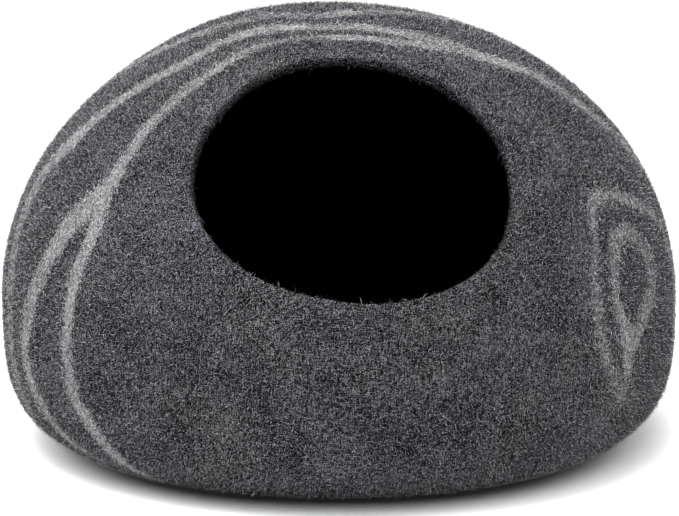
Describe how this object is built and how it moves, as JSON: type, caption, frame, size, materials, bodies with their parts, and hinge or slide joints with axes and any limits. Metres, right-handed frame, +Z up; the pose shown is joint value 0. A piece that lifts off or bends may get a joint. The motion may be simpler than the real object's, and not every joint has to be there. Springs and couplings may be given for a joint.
{
  "type": "felt cat cave",
  "caption": "Rounded seamless wool felt cat cave: a hollow flat-footed shell with one slanted round mouth in its upper front.",
  "frame": {"origin": "middle of the flat foot, on the surface that the cave stands on, which is the bottom centre of its box", "axes": "+Z up, the mouth looks towards -Y and upwards, +X to the right of someone who faces the mouth"},
  "size_m": [0.46, 0.4586, 0.2967],
  "materials": {
    "wool_felt": "matt dark grey felted wool with soft pale grey lines laid in"
  },
  "bodies": {
    "root": {"felt_shell": "wool_felt"}
  },
  "joints": []
}
